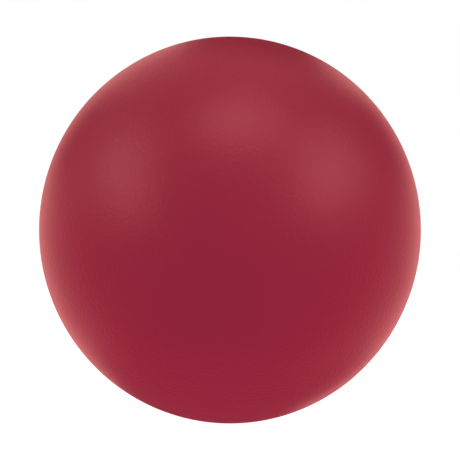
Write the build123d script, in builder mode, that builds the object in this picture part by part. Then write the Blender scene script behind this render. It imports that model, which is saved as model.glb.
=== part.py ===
"""An inflatable rubber playground ball, in millimetres.

The wall is built in layers, as a moulded ball is: a smooth rubber cover in two halves that meet at the
parting line, a layer of wound nylon thread, and an airtight bladder in two halves with a strip over their
joint. A flanged valve boot is bonded inside the bladder, and a self-sealing core is pushed into the boot.

The origin is the ball's centre. +Z is up and +Y points out of the valve, so the parting line lies in the
XZ plane.
"""

from build123d import *
import os

# The ball as a whole: it is moulded a little taller than it is wide
WIDTH = 215.9
HEIGHT = 218.7

# Layers of the wall, from the outside in
COVER_THICK = 1.5
WINDING_THICK = 0.4
BLADDER_THICK = 0.7
STRIP_THICK = 0.5
STRIP_WIDE = 14.0

# Valve boot: a stem through the wall, a flange inside the bladder, and a tube that reaches inwards
FACE_SINK = 0.3  # how far the valve's face lies under the pole of the cover
STEM_RADIUS = 6.0
STEM_CHAMFER = 0.4
TUBE_RADIUS = 5.0
TUBE_ROOT_FILLET = 1.5
TUBE_END_CHAMFER = 0.8
BOOT_LENGTH = 17.0
FLANGE_RADIUS = 19.0
FLANGE_THICK = 1.2
FLANGE_RIM_CHAMFER = 0.8
PAD_RADIUS = 14.0

# Valve core: a head in the boot's counterbore, ribs in its bore, and a tip that reaches past it
HEAD_RADIUS = 4.0
HEAD_THICK = 1.4
HEAD_CHAMFER = 0.3
BORE_RADIUS = 2.8
CORE_CLEARANCE = 0.05
SHANK_RADIUS = 2.3
RIB_WIDE = 1.4
RIB_CHAMFER = 0.3
RIB_PITCH = 3.6
RIB_COUNT = 4
TIP_LENGTH = 4.0
TIP_RADIUS = 1.2

# Guide hole for an inflating needle
NEEDLE_RADIUS = 1.15
NEEDLE_DEEP = 9.0
LEAD_IN_RADIUS = 1.7
LEAD_IN_ANGLE = 90

# Depths of the surfaces between the layers
WINDING_DEPTH = COVER_THICK
BLADDER_DEPTH = WINDING_DEPTH + WINDING_THICK
INSIDE_DEPTH = BLADDER_DEPTH + BLADDER_THICK

# The valve's axis runs along Y: planes across it at the valve's face and clear of the ball
VALVE_FACE = Plane(origin=(0, WIDTH / 2 - FACE_SINK, 0), x_dir=(1, 0, 0), z_dir=(0, 1, 0))
CLEAR_OF_BALL = Plane(origin=(0, WIDTH, 0), x_dir=(1, 0, 0), z_dir=(0, 1, 0))
BELOW = (Align.CENTER, Align.CENTER, Align.MAX)
POLES_ON_VALVE_AXIS = (90, 0, 0)


def ball_under(depth):
    """All of the ball that lies more than depth under its outside, in the ball's own proportions."""
    with BuildPart() as solid:
        Sphere(WIDTH / 2 - depth, rotation=POLES_ON_VALVE_AXIS)
        scale(by=(1, 1, HEIGHT / WIDTH))
    return solid.part


def cut_valve_hole(radius):
    """Cuts a hole on the valve's axis through the rear of the part being built."""
    with Locations(CLEAR_OF_BALL):
        Hole(radius, depth=WIDTH)


def keep_round_valve(radius):
    """Keeps only what is within a radius of the valve's axis, at the rear."""
    with Locations(CLEAR_OF_BALL):
        Cylinder(radius, WIDTH, align=BELOW, mode=Mode.INTERSECT)


# A layer is what lies under its outer surface, trimmed to size, less what lies under its inner surface
whole_ball = ball_under(0)
under_cover = ball_under(WINDING_DEPTH)
under_winding = ball_under(BLADDER_DEPTH)
under_bladder = ball_under(INSIDE_DEPTH)
under_strip = ball_under(INSIDE_DEPTH + STRIP_THICK)
under_flange = ball_under(INSIDE_DEPTH + FLANGE_THICK)

# Cover: two halves that meet at the parting line. Plane.XZ faces -Y, so the front is its top side.
with BuildPart() as cover_front:
    add(whole_ball)
    split(bisect_by=Plane.XZ, keep=Keep.TOP)
    add(under_cover, mode=Mode.SUBTRACT)

with BuildPart() as cover_rear:
    add(whole_ball)
    split(bisect_by=Plane.XZ, keep=Keep.BOTTOM)
    add(under_cover, mode=Mode.SUBTRACT)
    cut_valve_hole(STEM_RADIUS)

# Winding, with the round gap that the thread leaves at the valve, and the pad that fills it
with BuildPart() as winding:
    add(under_cover)
    cut_valve_hole(PAD_RADIUS)
    add(under_winding, mode=Mode.SUBTRACT)

with BuildPart() as valve_pad:
    add(under_cover)
    keep_round_valve(PAD_RADIUS)
    add(under_winding, mode=Mode.SUBTRACT)
    cut_valve_hole(STEM_RADIUS)

# Bladder: two halves, and the strip cemented inside over their joint
with BuildPart() as bladder_front:
    add(under_winding)
    split(bisect_by=Plane.XZ, keep=Keep.TOP)
    add(under_bladder, mode=Mode.SUBTRACT)

with BuildPart() as bladder_rear:
    add(under_winding)
    split(bisect_by=Plane.XZ, keep=Keep.BOTTOM)
    add(under_bladder, mode=Mode.SUBTRACT)
    cut_valve_hole(STEM_RADIUS)

with BuildPart() as bladder_seam_strip:
    add(under_bladder)
    Box(WIDTH, STRIP_WIDE, HEIGHT, mode=Mode.INTERSECT)
    add(under_strip, mode=Mode.SUBTRACT)

# Valve boot: its flange follows the bladder, and its tube, stem and bore share the valve's axis
with BuildPart() as valve_boot:
    add(under_bladder)
    keep_round_valve(FLANGE_RADIUS)
    add(under_flange, mode=Mode.SUBTRACT)
    chamfer(valve_boot.edges().sort_by(Axis.Y)[0], FLANGE_RIM_CHAMFER)
    with Locations(VALVE_FACE):
        Cylinder(TUBE_RADIUS, BOOT_LENGTH, align=BELOW)
    fillet(valve_boot.edges(Select.NEW).sort_by(Axis.Y)[0], TUBE_ROOT_FILLET)
    chamfer(valve_boot.edges().sort_by(Axis.Y)[0], TUBE_END_CHAMFER)
    with Locations(VALVE_FACE):
        Cylinder(STEM_RADIUS, INSIDE_DEPTH, align=BELOW)
    chamfer(valve_boot.edges().sort_by(Axis.Y)[-1], STEM_CHAMFER)
    with Locations(VALVE_FACE):
        CounterBoreHole(
            radius=BORE_RADIUS,
            counter_bore_radius=HEAD_RADIUS + CORE_CLEARANCE,
            counter_bore_depth=HEAD_THICK,
            depth=BOOT_LENGTH,
        )

# Valve core: head, shank and tip, then the ribs on the shank and the needle's guide hole
with BuildPart() as valve_core:
    with Locations(VALVE_FACE):
        Cylinder(HEAD_RADIUS, HEAD_THICK, align=BELOW)
    chamfer(valve_core.edges().sort_by(Axis.Y)[-1], HEAD_CHAMFER)
    with Locations(VALVE_FACE):
        Cylinder(SHANK_RADIUS, BOOT_LENGTH, align=BELOW)
    with Locations(VALVE_FACE.offset(-BOOT_LENGTH)):
        Cone(TIP_RADIUS, SHANK_RADIUS, TIP_LENGTH, align=BELOW)
    for rib in range(RIB_COUNT):
        rib_top = VALVE_FACE.offset(-HEAD_THICK - RIB_PITCH * (rib + 0.5))
        with Locations(rib_top):
            Cylinder(BORE_RADIUS - CORE_CLEARANCE, RIB_WIDE, align=BELOW)
        rib_edges = valve_core.edges(Select.LAST).filter_by(GeomType.CIRCLE)
        chamfer(rib_edges.group_by(SortBy.RADIUS)[-1], RIB_CHAMFER)
    with Locations(VALVE_FACE):
        CounterSinkHole(NEEDLE_RADIUS, LEAD_IN_RADIUS, NEEDLE_DEEP, LEAD_IN_ANGLE)

pieces = {
    "cover_front": cover_front,
    "cover_rear": cover_rear,
    "winding": winding,
    "valve_pad": valve_pad,
    "bladder_front": bladder_front,
    "bladder_rear": bladder_rear,
    "bladder_seam_strip": bladder_seam_strip,
    "valve_boot": valve_boot,
    "valve_core": valve_core,
}
os.makedirs("parts", exist_ok=True)
for label, piece in pieces.items():
    piece.part.label = label
    export_step(piece.part, f"parts/{label}.step")
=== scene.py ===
"""Looks of the playground rubber ball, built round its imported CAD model, in metres.

The moulded cover is made here in its two halves, with the parting line between them and the ring round
the valve. The pieces inside the cover and the valve keep their CAD shapes and get materials.
"""
import math

import bmesh
import bpy
from mathutils import Matrix, Quaternion, Vector, noise


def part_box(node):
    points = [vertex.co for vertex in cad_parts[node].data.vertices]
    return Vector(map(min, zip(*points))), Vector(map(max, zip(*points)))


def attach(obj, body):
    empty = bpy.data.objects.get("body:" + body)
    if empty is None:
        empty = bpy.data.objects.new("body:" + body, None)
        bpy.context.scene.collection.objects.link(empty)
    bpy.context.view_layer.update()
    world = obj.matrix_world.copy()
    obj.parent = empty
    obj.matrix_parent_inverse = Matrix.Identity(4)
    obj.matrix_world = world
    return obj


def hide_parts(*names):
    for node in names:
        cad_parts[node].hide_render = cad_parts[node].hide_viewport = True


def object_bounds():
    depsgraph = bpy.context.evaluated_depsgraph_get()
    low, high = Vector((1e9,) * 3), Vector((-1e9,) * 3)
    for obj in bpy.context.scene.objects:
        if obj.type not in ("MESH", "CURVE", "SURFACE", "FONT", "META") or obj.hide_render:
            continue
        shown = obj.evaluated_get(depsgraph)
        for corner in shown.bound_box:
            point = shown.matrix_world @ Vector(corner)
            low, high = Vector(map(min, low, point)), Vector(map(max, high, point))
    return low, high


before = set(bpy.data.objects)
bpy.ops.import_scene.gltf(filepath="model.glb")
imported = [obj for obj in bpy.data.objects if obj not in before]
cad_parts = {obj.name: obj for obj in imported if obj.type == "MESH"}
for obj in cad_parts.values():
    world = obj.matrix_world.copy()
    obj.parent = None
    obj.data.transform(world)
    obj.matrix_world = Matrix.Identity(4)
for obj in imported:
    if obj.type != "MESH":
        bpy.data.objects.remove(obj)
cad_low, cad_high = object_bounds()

MM = 0.001

# The cover's size, from the CAD model
COVER_LOW, COVER_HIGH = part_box("cover_front")
RADII = Vector((COVER_HIGH.x, -COVER_LOW.y, COVER_HIGH.z))
COVER_THICK = RADII.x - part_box("winding")[1].x
HOLE_RADIUS = min(math.hypot(v.co.x, v.co.z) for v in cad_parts["cover_rear"].data.vertices)

# The cover's mesh
CELLS = 64  # along a quarter of the parting line
SEGMENTS = 4 * CELLS
PARTING_ROWS = (1.6 * MM, 1.1 * MM, 0.7 * MM, 0.45 * MM, 0.3 * MM, 0.15 * MM, 0.0)  # from the parting line
VALVE_ROW_PITCH = 0.3 * MM
VALVE_ROWS_RADIUS = 16 * MM
ROUND_STEPS = 6
SHARP_ANGLE = math.radians(40)
QUARTER = math.pi / 2
NEAR_AXIS = 1e-6  # radians from the Y axis, within which a point has no meridian

# The cover's surface
PARTING_HEIGHT = 0.10 * MM
PARTING_HALF_WIDTH = 0.4 * MM
RING_RADIUS = 11.0 * MM
RING_HEIGHT = 0.35 * MM
RING_HALF_WIDTH = 0.7 * MM
HOLE_ROUND = 0.4 * MM
UNEVEN_HEIGHT = 0.10 * MM
UNEVEN_LENGTH = 60 * MM

# Camera: in front of the ball, which fills this share of the picture's half width
LENS_MM = 85
SENSOR_MM = 36
CAMERA_ELEVATION = math.radians(1)
BALL_SHARE = 0.8305

# Materials: linear colours, the sizes of their marks, and the two ends of each roughness
NOISE_MIDDLE = (0.3, 0.7)  # where most values of a random variation lie
COVER_RED = (0.270, 0.0174, 0.042)
COVER_RED_DEEP = (0.260, 0.0166, 0.040)
COVER_ROUGHNESS = (0.40, 0.44)
COVER_SPECULAR_TINT = (1.0, 0.28, 0.25)
COVER_SHEEN_TINT = (1.0, 0.31, 0.27)
COVER_SHEEN = 0.05
COVER_SHEEN_ROUGHNESS = 0.45
COVER_DRIFT = 55 * MM
COVER_DRIFT_SHARE = 0.6  # of the colour's variation, with the rest from the grain
COVER_GRAIN = 1.8 * MM
COVER_FINE_GRAIN = COVER_GRAIN / 4
COVER_FINE_SHARE = 0.15
COVER_GRAIN_HEIGHT = 0.10 * MM
BUTYL_BLACK = (0.018, 0.018, 0.020)
TALC_GREY = (0.085, 0.085, 0.083)
BLADDER_ROUGHNESS = (0.5, 0.85)
TALC_CLOUDS = 14 * MM
TALC_CLOUD_DETAIL = 4.0
TALC_POWDER = 0.6 * MM
TALC_POWDER_DETAIL = 3.0
TALC_BETWEEN_GRAINS = 0.5  # added to the powder, for the talc that lies between its grains
TALC_HEIGHT = 0.02 * MM
THREAD_LIGHT = (0.70, 0.65, 0.54)
# painted shade: the thread's colour darkened for the gaps between threads, also used where the turns fade
# out
THREAD_GAP_SHADE = (0.40, 0.35, 0.27)
THREAD_ROUGHNESS = (0.65, 0.85)
THREAD_PITCH = 0.9 * MM
THREAD_TURNS = ((0, 0.3, 0.2), (0, 0.2, 1.45), (0, 1.4, 0.15), (0, 0.8, 0.7))  # radians
THREAD_FADES = (0.6, 0.85)  # how far along its axis a winding fades out, in shares of the ball's radius
THREAD_WANDER = 2 * MM
THREAD_WANDER_LENGTH = 20 * MM
THREAD_HEIGHT = 0.2 * MM
FIBRE = 0.15 * MM
FIBRE_SHARE = 0.1
WAVE_LENGTH = math.pi / 10  # of one band of the wave texture at a scale of 1
VALVE_BLACK = (0.024, 0.024, 0.026)
VALVE_WORN = (0.040, 0.040, 0.041)
VALVE_ROUGHNESS = (0.42, 0.58)
VALVE_WEAR = 5 * MM
VALVE_WEAR_DETAIL = 3.0
VALVE_GRAIN = 0.25 * MM
VALVE_GRAIN_HEIGHT = 0.01 * MM

# Studio. A soft light that faces the ball has an azimuth from the camera toward +X and an elevation in
# degrees, a width and a height in metres, and a power in watts.
LIGHT_DISTANCE = 1.0
SOFTBOXES = {
    "overhead": (8, 60, 0.56, 0.34, 4.0),
    "left": (-70, 30, 0.4, 0.5, 2.5),
    "left_low": (-55, 15, 0.3, 0.35, 1.5),
    "right": (65, 30, 0.6, 0.5, 3.0),
    "right_low": (50, 20, 0.3, 0.35, 1.5),
}
FILLS = {
    "fill_back": (180, 20, 1.6, 0.7, 6.0),
}
FLOOR_FILL_SIZE = 2.4
FLOOR_FILL_POWER = 24.0
FLOOR_FILL_DROP = 5 * MM

# Tinted lights behind and beside the ball, for its reflections near the outline. They stand in rings round
# the line from the camera through the ball. A ring has its angle from straight behind in degrees, its depth
# in metres, its power in watts a degree, and the ends of each of its arcs, in degrees from +X toward +Z.
RIM_COLOUR = (1.0, 0.45, 0.4)
RIM_RINGS = {
    "edge": (34, 0.26, 0.018, ((-70, 60), (105, 235))),
    "inner": (52, 0.35, 0.024, ((-45, 15), (45, 60), (105, 135), (165, 225))),
    "side": (77, 0.44, 0.014, ((-60, 0), (120, 225))),
    "top": (77, 0.44, 0.025, ((60, 120),)),
}
RIM_STEP = 30  # the most degrees of an arc that one light covers

# Floor and background
WHITE = (1, 1, 1)
FLOOR_RADIUS = 3.0
FLOOR_GREY = (0.3, 0.3, 0.3)
FLOOR_ROUGHNESS = 0.9
FLOOR_GLOW = 1.0


def bell(distance, half_width):
    """1 at no distance, about a third at half_width, and next to nothing at twice that."""
    return math.exp(-((distance / half_width) ** 2))


def relief(point):
    """How far the cover stands out at a point: slow waves, its parting line and the valve's ring."""
    out = UNEVEN_HEIGHT * noise.noise(point / UNEVEN_LENGTH)
    out += PARTING_HEIGHT * bell(point.y, PARTING_HALF_WIDTH)
    if point.y > 0:
        out += RING_HEIGHT * bell(math.hypot(point.x, point.z) - RING_RADIUS, RING_HALF_WIDTH)
    return out


def at_depth(unit, depth):
    """The cover's point in the direction of a unit-sphere point, at a depth under its outside."""
    return Vector(unit[i] * (RADII[i] - depth) for i in range(3))


def outside(unit):
    point = at_depth(unit, 0.0)
    return point + unit * relief(point)


def inside(unit):
    return at_depth(unit, COVER_THICK)


def add_piece(name, mesh):
    """Links a bmesh to the scene as a piece, smooth but for its sharp edges."""
    bmesh.ops.recalc_face_normals(mesh, faces=mesh.faces)
    for face in mesh.faces:
        face.smooth = True
    for edge in mesh.edges:
        edge.smooth = edge.calc_face_angle(0.0) < SHARP_ANGLE
    data = bpy.data.meshes.new(name)
    mesh.to_mesh(data)
    mesh.free()
    piece = bpy.data.objects.new(name, data)
    bpy.context.scene.collection.objects.link(piece)
    return piece


def half_grid():
    """The -Y half of a unit sphere as an even grid of quads, from a subdivided cube."""
    mesh = bmesh.new()
    bmesh.ops.create_cube(mesh, size=2)
    bmesh.ops.subdivide_edges(mesh, edges=mesh.edges[:], cuts=CELLS - 1, use_grid_fill=True)
    half_cell = 1 / CELLS
    rear = [vertex for vertex in mesh.verts if vertex.co.y > half_cell]
    bmesh.ops.delete(mesh, geom=rear, context="VERTS")
    for vertex in mesh.verts:
        vertex.co = Vector(math.tan(c * QUARTER / 2) for c in vertex.co).normalized()
    return mesh


def moved_to_height(unit, height):
    """The unit-sphere point at y = height on the same meridian round the Y axis."""
    share = math.sqrt((1 - height * height) / (unit.x * unit.x + unit.z * unit.z))
    return Vector((unit.x * share, height, unit.z * share))


def make_front_cover():
    """The front half: an outer and an inner dome, joined by a flat face at the parting line."""
    mesh = half_grid()
    copy = bmesh.ops.duplicate(mesh, geom=mesh.faces[:])["geom"]
    inner = {item for item in copy if isinstance(item, bmesh.types.BMVert)}
    inner_rim = [item for item in copy if isinstance(item, bmesh.types.BMEdge) and item.is_boundary]
    outer = [vertex for vertex in mesh.verts if vertex not in inner]
    rim = [edge for edge in mesh.edges if edge.is_boundary and edge.verts[0] not in inner]
    first_row = math.asin(PARTING_ROWS[0] / RADII.y)
    for vertex in outer:
        latitude = math.asin(min(1.0, -vertex.co.y))
        latitude = first_row + latitude * (1 - first_row / QUARTER)
        if latitude < QUARTER - NEAR_AXIS:
            vertex.co = moved_to_height(vertex.co, -math.sin(latitude))
    for row in PARTING_ROWS[1:]:
        added = bmesh.ops.extrude_edge_only(mesh, edges=rim)["geom"]
        for vertex in (item for item in added if isinstance(item, bmesh.types.BMVert)):
            vertex.co = moved_to_height(vertex.co, -row / RADII.y)
        rim = [item for item in added if isinstance(item, bmesh.types.BMEdge) and item.is_boundary]
    bmesh.ops.bridge_loops(mesh, edges=rim + inner_rim)
    for vertex in mesh.verts:
        vertex.co = inside(vertex.co) if vertex in inner else outside(vertex.co)
    return add_piece("cover_front_moulded", mesh)


def ring_round_valve(share):
    """A ring of unit-sphere points, share of the way from the valve's axis to the parting line."""
    flatten = RADII.x / RADII.z  # makes the cover's own rings round near the valve
    flatten += (1 - flatten) * share
    ring = []
    for segment in range(SEGMENTS):
        turn = 2 * math.pi * segment / SEGMENTS
        x, z = share * math.cos(turn), share * flatten * math.sin(turn)
        ring.append(Vector((x, math.sqrt(max(0.0, 1 - x * x - z * z)), z)))
    return ring


def make_rear_cover():
    """The rear half: rings of points from the parting line to the hole's rounded edge, and back inside."""
    edge_radius = HOLE_RADIUS + HOLE_ROUND
    shares = [math.sqrt(1 - (row / RADII.y) ** 2) for row in reversed(PARTING_ROWS)]
    last = math.acos(VALVE_ROWS_RADIUS / RADII.x)
    first = math.acos(shares[-1])
    wide_rows = round((last - first) / QUARTER * CELLS)
    shares += [math.cos(first + (last - first) * (i + 1) / wide_rows) for i in range(wide_rows)]
    close_rows = round((VALVE_ROWS_RADIUS - edge_radius) / VALVE_ROW_PITCH)
    step = (VALVE_ROWS_RADIUS - edge_radius) / close_rows
    shares += [(VALVE_ROWS_RADIUS - step * (i + 1)) / RADII.x for i in range(close_rows)]
    rings = [[outside(unit) for unit in ring_round_valve(share)] for share in shares]
    for i in range(1, ROUND_STEPS + 1):
        turn = QUARTER * i / ROUND_STEPS
        radius = edge_radius - HOLE_ROUND * math.sin(turn)
        drop = Vector((0, -HOLE_ROUND * (1 - math.cos(turn)), 0))
        rings.append([outside(unit) + drop for unit in ring_round_valve(radius / RADII.x)])
    inner_hole = HOLE_RADIUS / (RADII.x - COVER_THICK)
    for i in range(CELLS + 1):
        latitude = math.acos(inner_hole) * (1 - i / CELLS)
        rings.append([inside(unit) for unit in ring_round_valve(math.cos(latitude))])
    mesh = bmesh.new()
    rings = [[mesh.verts.new(point) for point in ring] for ring in rings]
    for ring, following in zip(rings, rings[1:] + rings[:1]):
        for i in range(SEGMENTS):
            mesh.faces.new((ring[i - 1], ring[i], following[i], following[i - 1]))
    return add_piece("cover_rear_moulded", mesh)


def new_material(name):
    material = bpy.data.materials.new(name)
    material.use_nodes = True
    tree = material.node_tree
    return material, tree, tree.nodes["Principled BSDF"]


def add_node(tree, kind, inputs, **settings):
    """Adds a shader node. Each input is a number, a colour or another node's output."""
    made = tree.nodes.new(kind)
    for key, value in settings.items():
        setattr(made, key, value)
    for key, value in inputs.items():
        if isinstance(value, bpy.types.NodeSocket):
            tree.links.new(value, made.inputs[key])
        else:
            made.inputs[key].default_value = value
    return made


def place(tree):
    """The point on the object, in metres."""
    return add_node(tree, "ShaderNodeTexCoord", {}).outputs["Object"]


def spots(tree, size, detail=2.0):
    """Soft random variation between 0 and 1, in spots of about this size."""
    inputs = {"Vector": place(tree), "Scale": 1 / size, "Detail": detail}
    return add_node(tree, "ShaderNodeTexNoise", inputs).outputs["Fac"]


def stretch(tree, value, source, target):
    """Maps a value from one range to another, and stops at its ends."""
    inputs = {"Value": value, "From Min": source[0], "From Max": source[1]}
    inputs |= {"To Min": target[0], "To Max": target[1]}
    return add_node(tree, "ShaderNodeMapRange", inputs).outputs["Result"]


def spread(tree, value, low=0.0, high=1.0):
    """Stretches the middle of a random variation over the range from low to high."""
    return stretch(tree, value, NOISE_MIDDLE, (low, high))


def reckon(tree, operation, *values):
    """The result of a math operation on numbers or other nodes' outputs."""
    made = add_node(tree, "ShaderNodeMath", dict(enumerate(values)), operation=operation)
    return made.outputs["Value"]


def between(tree, factor, first, second):
    """The colour this share of the way from the first to the second."""
    made = add_node(tree, "ShaderNodeMix", {"Factor": factor}, data_type="RGBA")
    colours = [socket for socket in made.inputs if socket.type == "RGBA"]
    for socket, colour in zip(colours, (first, second)):
        socket.default_value = (*colour, 1)
    return next(socket for socket in made.outputs if socket.type == "RGBA")


def raise_surface(tree, shader, height, distance):
    """Bumps the surface by height, a value from 0 to 1, times distance."""
    inputs = {"Height": height, "Distance": distance, "Strength": 1.0}
    tree.links.new(add_node(tree, "ShaderNodeBump", inputs).outputs["Normal"], shader.inputs["Normal"])


def cover_rubber():
    """Satin red rubber: a fine moulded grain, and a colour and gloss that drift slowly over the ball."""
    material, tree, shader = new_material("cover_rubber")
    slow = spots(tree, COVER_DRIFT)
    grain = spots(tree, COVER_GRAIN)
    fine = spots(tree, COVER_FINE_GRAIN)
    from_grain = reckon(tree, "MULTIPLY", grain, 1 - COVER_DRIFT_SHARE)
    mottle = reckon(tree, "MULTIPLY_ADD", slow, COVER_DRIFT_SHARE, from_grain)
    red = between(tree, spread(tree, mottle), COVER_RED_DEEP, COVER_RED)
    tree.links.new(red, shader.inputs["Base Color"])
    tree.links.new(spread(tree, mottle, *COVER_ROUGHNESS), shader.inputs["Roughness"])
    height = reckon(tree, "MULTIPLY_ADD", fine, COVER_FINE_SHARE, grain)
    raise_surface(tree, shader, spread(tree, height), COVER_GRAIN_HEIGHT)
    shader.inputs["Specular Tint"].default_value = (*COVER_SPECULAR_TINT, 1)
    shader.inputs["Sheen Weight"].default_value = COVER_SHEEN
    shader.inputs["Sheen Roughness"].default_value = COVER_SHEEN_ROUGHNESS
    shader.inputs["Sheen Tint"].default_value = (*COVER_SHEEN_TINT, 1)
    return material


def bladder_rubber():
    """Black butyl rubber with a thin, uneven dusting of talc."""
    material, tree, shader = new_material("bladder_rubber")
    clouds = spots(tree, TALC_CLOUDS, TALC_CLOUD_DETAIL)
    powder = spots(tree, TALC_POWDER, TALC_POWDER_DETAIL)
    raised_powder = reckon(tree, "ADD", powder, TALC_BETWEEN_GRAINS)
    dust = spread(tree, reckon(tree, "MULTIPLY", clouds, raised_powder))
    tree.links.new(between(tree, dust, BUTYL_BLACK, TALC_GREY), shader.inputs["Base Color"])
    tree.links.new(spread(tree, dust, *BLADDER_ROUGHNESS), shader.inputs["Roughness"])
    raise_surface(tree, shader, powder, TALC_HEIGHT)
    return material


def threads_round(tree, turn, wander):
    """Threads side by side round an axis, which fade out toward its ends: 1 on a thread, 0 between two."""
    mapping = {"Vector": place(tree), "Rotation": turn}
    turned = add_node(tree, "ShaderNodeMapping", mapping).outputs["Vector"]
    moved = {0: wander, 1: (THREAD_WANDER,) * 3, 2: turned}
    loose = add_node(tree, "ShaderNodeVectorMath", moved, operation="MULTIPLY_ADD").outputs["Vector"]
    waves = {"Vector": loose, "Scale": WAVE_LENGTH / THREAD_PITCH, "Distortion": 0.0}
    threads = add_node(tree, "ShaderNodeTexWave", waves).outputs["Fac"]
    along = add_node(tree, "ShaderNodeSeparateXYZ", {"Vector": turned}).outputs["X"]
    fades = [share * RADII.x for share in THREAD_FADES]
    kept = stretch(tree, reckon(tree, "ABSOLUTE", along), fades, (1.0, 0.0))
    return reckon(tree, "MULTIPLY", threads, kept)


def winding_nylon():
    """Undyed nylon thread, wound round the bladder in turns that cross one another, with painted shade
    between the threads.
    """
    material, tree, shader = new_material("winding_nylon")
    drift = {"Vector": place(tree), "Scale": 1 / THREAD_WANDER_LENGTH}
    wander = add_node(tree, "ShaderNodeTexNoise", drift).outputs["Color"]
    thread = threads_round(tree, THREAD_TURNS[0], wander)
    for turn in THREAD_TURNS[1:]:
        thread = reckon(tree, "MAXIMUM", thread, threads_round(tree, turn, wander))
    fibre = spots(tree, FIBRE)
    # Painted shade: the colour darkens between the threads, and wherever all the turns fade out
    tree.links.new(between(tree, thread, THREAD_GAP_SHADE, THREAD_LIGHT), shader.inputs["Base Color"])
    tree.links.new(spread(tree, fibre, *THREAD_ROUGHNESS), shader.inputs["Roughness"])
    height = reckon(tree, "MULTIPLY_ADD", fibre, FIBRE_SHARE, thread)
    raise_surface(tree, shader, height, THREAD_HEIGHT)
    return material


def valve_rubber():
    """Black rubber with a matt moulded grain, paler where it has been handled."""
    material, tree, shader = new_material("valve_rubber")
    worn = spots(tree, VALVE_WEAR, VALVE_WEAR_DETAIL)
    black = between(tree, spread(tree, worn), VALVE_BLACK, VALVE_WORN)
    tree.links.new(black, shader.inputs["Base Color"])
    tree.links.new(spread(tree, worn, *VALVE_ROUGHNESS), shader.inputs["Roughness"])
    raise_surface(tree, shader, spots(tree, VALVE_GRAIN), VALVE_GRAIN_HEIGHT)
    return material


def add_lamp(name, location, rotation, width, height, power, colour=WHITE):
    """A soft light, which the camera doesn't see."""
    lamp = bpy.data.lights.new(name, "AREA")
    lamp.color = colour
    lamp.shape = "RECTANGLE"
    lamp.size, lamp.size_y = width, height
    lamp.energy = power
    holder = bpy.data.objects.new(name, lamp)
    bpy.context.scene.collection.objects.link(holder)
    holder.location = location
    holder.rotation_mode = "QUATERNION"
    holder.rotation_quaternion = rotation
    holder.visible_camera = False
    return holder


def only_fill(holder):
    """The light lights the ball, and doesn't show in its reflections."""
    holder.data.cycles.use_multiple_importance_sampling = False
    holder.visible_glossy = False


def heading(azimuth, elevation):
    """The direction from the ball's centre at an azimuth and an elevation in degrees, as in SOFTBOXES."""
    turn, rise = math.radians(azimuth), math.radians(elevation)
    return Vector((math.sin(turn) * math.cos(rise), -math.cos(turn) * math.cos(rise), math.sin(rise)))


def add_light(name, azimuth, elevation, width, height, power):
    """A soft light that faces the ball's centre."""
    toward = heading(azimuth, elevation)
    turned = toward.to_track_quat("Z", "Y")
    return add_lamp(name, toward * LIGHT_DISTANCE, turned, width, height, power)


def add_rim_lights(name, off, depth, power, first, last):
    """Soft lights that face the ball's centre, next to one another along an arc of a ring."""
    off = math.radians(off)
    count = math.ceil((last - first) / RIM_STEP)
    step = (last - first) / count
    width = LIGHT_DISTANCE * math.sin(off) * math.radians(step)
    for i in range(count):
        turn = math.radians(first + step * (i + 0.5))
        toward = Vector((math.sin(off) * math.cos(turn), math.cos(off), math.sin(off) * math.sin(turn)))
        along = Vector((-math.sin(turn), 0, math.cos(turn)))
        turned = Matrix((along, toward.cross(along), toward)).transposed().to_quaternion()
        where = toward * LIGHT_DISTANCE
        add_lamp(f"{name}_{i}", where, turned, width, depth, power * step, RIM_COLOUR)


def add_floor_fill():
    """The light that the floor sheds on the ball: one under the floor that faces up."""
    facing_up = Quaternion((1, 0, 0), math.pi)
    where = Vector((0, 0, cad_low.z - FLOOR_FILL_DROP))
    size = FLOOR_FILL_SIZE
    only_fill(add_lamp("fill_floor", where, facing_up, size, size, FLOOR_FILL_POWER))


def make_studio_lights():
    for name, values in SOFTBOXES.items():
        add_light(name, *values)
    for name, values in FILLS.items():
        only_fill(add_light(name, *values))
    add_floor_fill()
    for name, (off, depth, power, arcs) in RIM_RINGS.items():
        for first, last in arcs:
            add_rim_lights(f"rim_{name}_{first}", off, depth, power, first, last)


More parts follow.
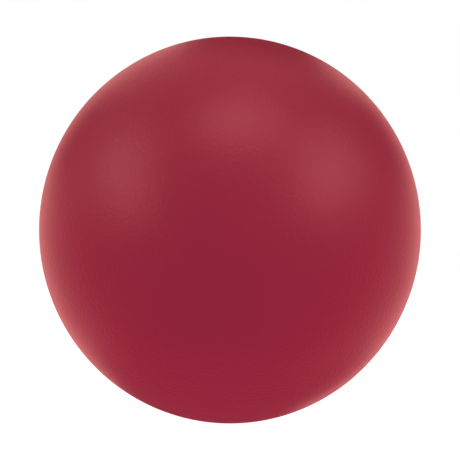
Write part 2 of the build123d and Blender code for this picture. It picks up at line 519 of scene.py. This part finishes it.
def make_floor():
    """A plain white floor. It sheds no light, and lets through that of the lights under it."""
    data = bpy.data.meshes.new("floor")
    mesh = bmesh.new()
    bmesh.ops.create_circle(mesh, cap_ends=True, segments=SEGMENTS, radius=FLOOR_RADIUS)
    mesh.to_mesh(data)
    mesh.free()
    floor = bpy.data.objects.new("floor", data)
    floor.location.z = cad_low.z
    bpy.context.scene.collection.objects.link(floor)
    material, tree, shader = new_material("floor_white")
    shader.inputs["Base Color"].default_value = (*FLOOR_GREY, 1)
    shader.inputs["Roughness"].default_value = FLOOR_ROUGHNESS
    shader.inputs["Specular IOR Level"].default_value = 0.0
    shader.inputs["Emission Color"].default_value = (*WHITE, 1)
    shader.inputs["Emission Strength"].default_value = FLOOR_GLOW
    data.materials.append(material)
    floor.visible_diffuse = False
    floor.visible_glossy = False
    floor.visible_shadow = False


def make_world():
    """A plain white background, which sheds no light."""
    world = bpy.data.worlds.new("studio")
    bpy.context.scene.world = world
    world.use_nodes = True
    world.node_tree.nodes["Background"].inputs["Color"].default_value = (*WHITE, 1)
    world.cycles_visibility.diffuse = False
    world.cycles_visibility.glossy = False


def make_camera():
    lens = bpy.data.cameras.new("camera")
    lens.lens, lens.sensor_width = LENS_MM, SENSOR_MM
    camera = bpy.data.objects.new("camera", lens)
    bpy.context.scene.collection.objects.link(camera)
    half_frame = SENSOR_MM / 2 / LENS_MM
    distance = RADII.x / math.sin(math.atan(BALL_SHARE * half_frame))
    back = Vector((0, -math.cos(CAMERA_ELEVATION), math.sin(CAMERA_ELEVATION)))
    camera.location = back * distance
    camera.rotation_mode = "QUATERNION"
    camera.rotation_quaternion = back.to_track_quat("Z", "Y")
    bpy.context.scene.camera = camera


# A CAD piece's plain material has its slot's name, and the one made here with that name takes its place
slots = {name: node.data.materials[0].name for name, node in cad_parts.items()}
for material in list(bpy.data.materials):
    bpy.data.materials.remove(material)
looks = {make.__name__: make() for make in (cover_rubber, bladder_rubber, winding_nylon, valve_rubber)}
for name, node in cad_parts.items():
    node.data.materials[0] = looks[slots[name]]

for piece, node in ((make_front_cover(), "cover_front"), (make_rear_cover(), "cover_rear")):
    piece.data.materials.append(looks["cover_rubber"])
    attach(piece, "ball")
    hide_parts(node)

make_studio_lights()
make_floor()
make_world()
make_camera()
bpy.context.scene.view_settings.view_transform = "Standard"
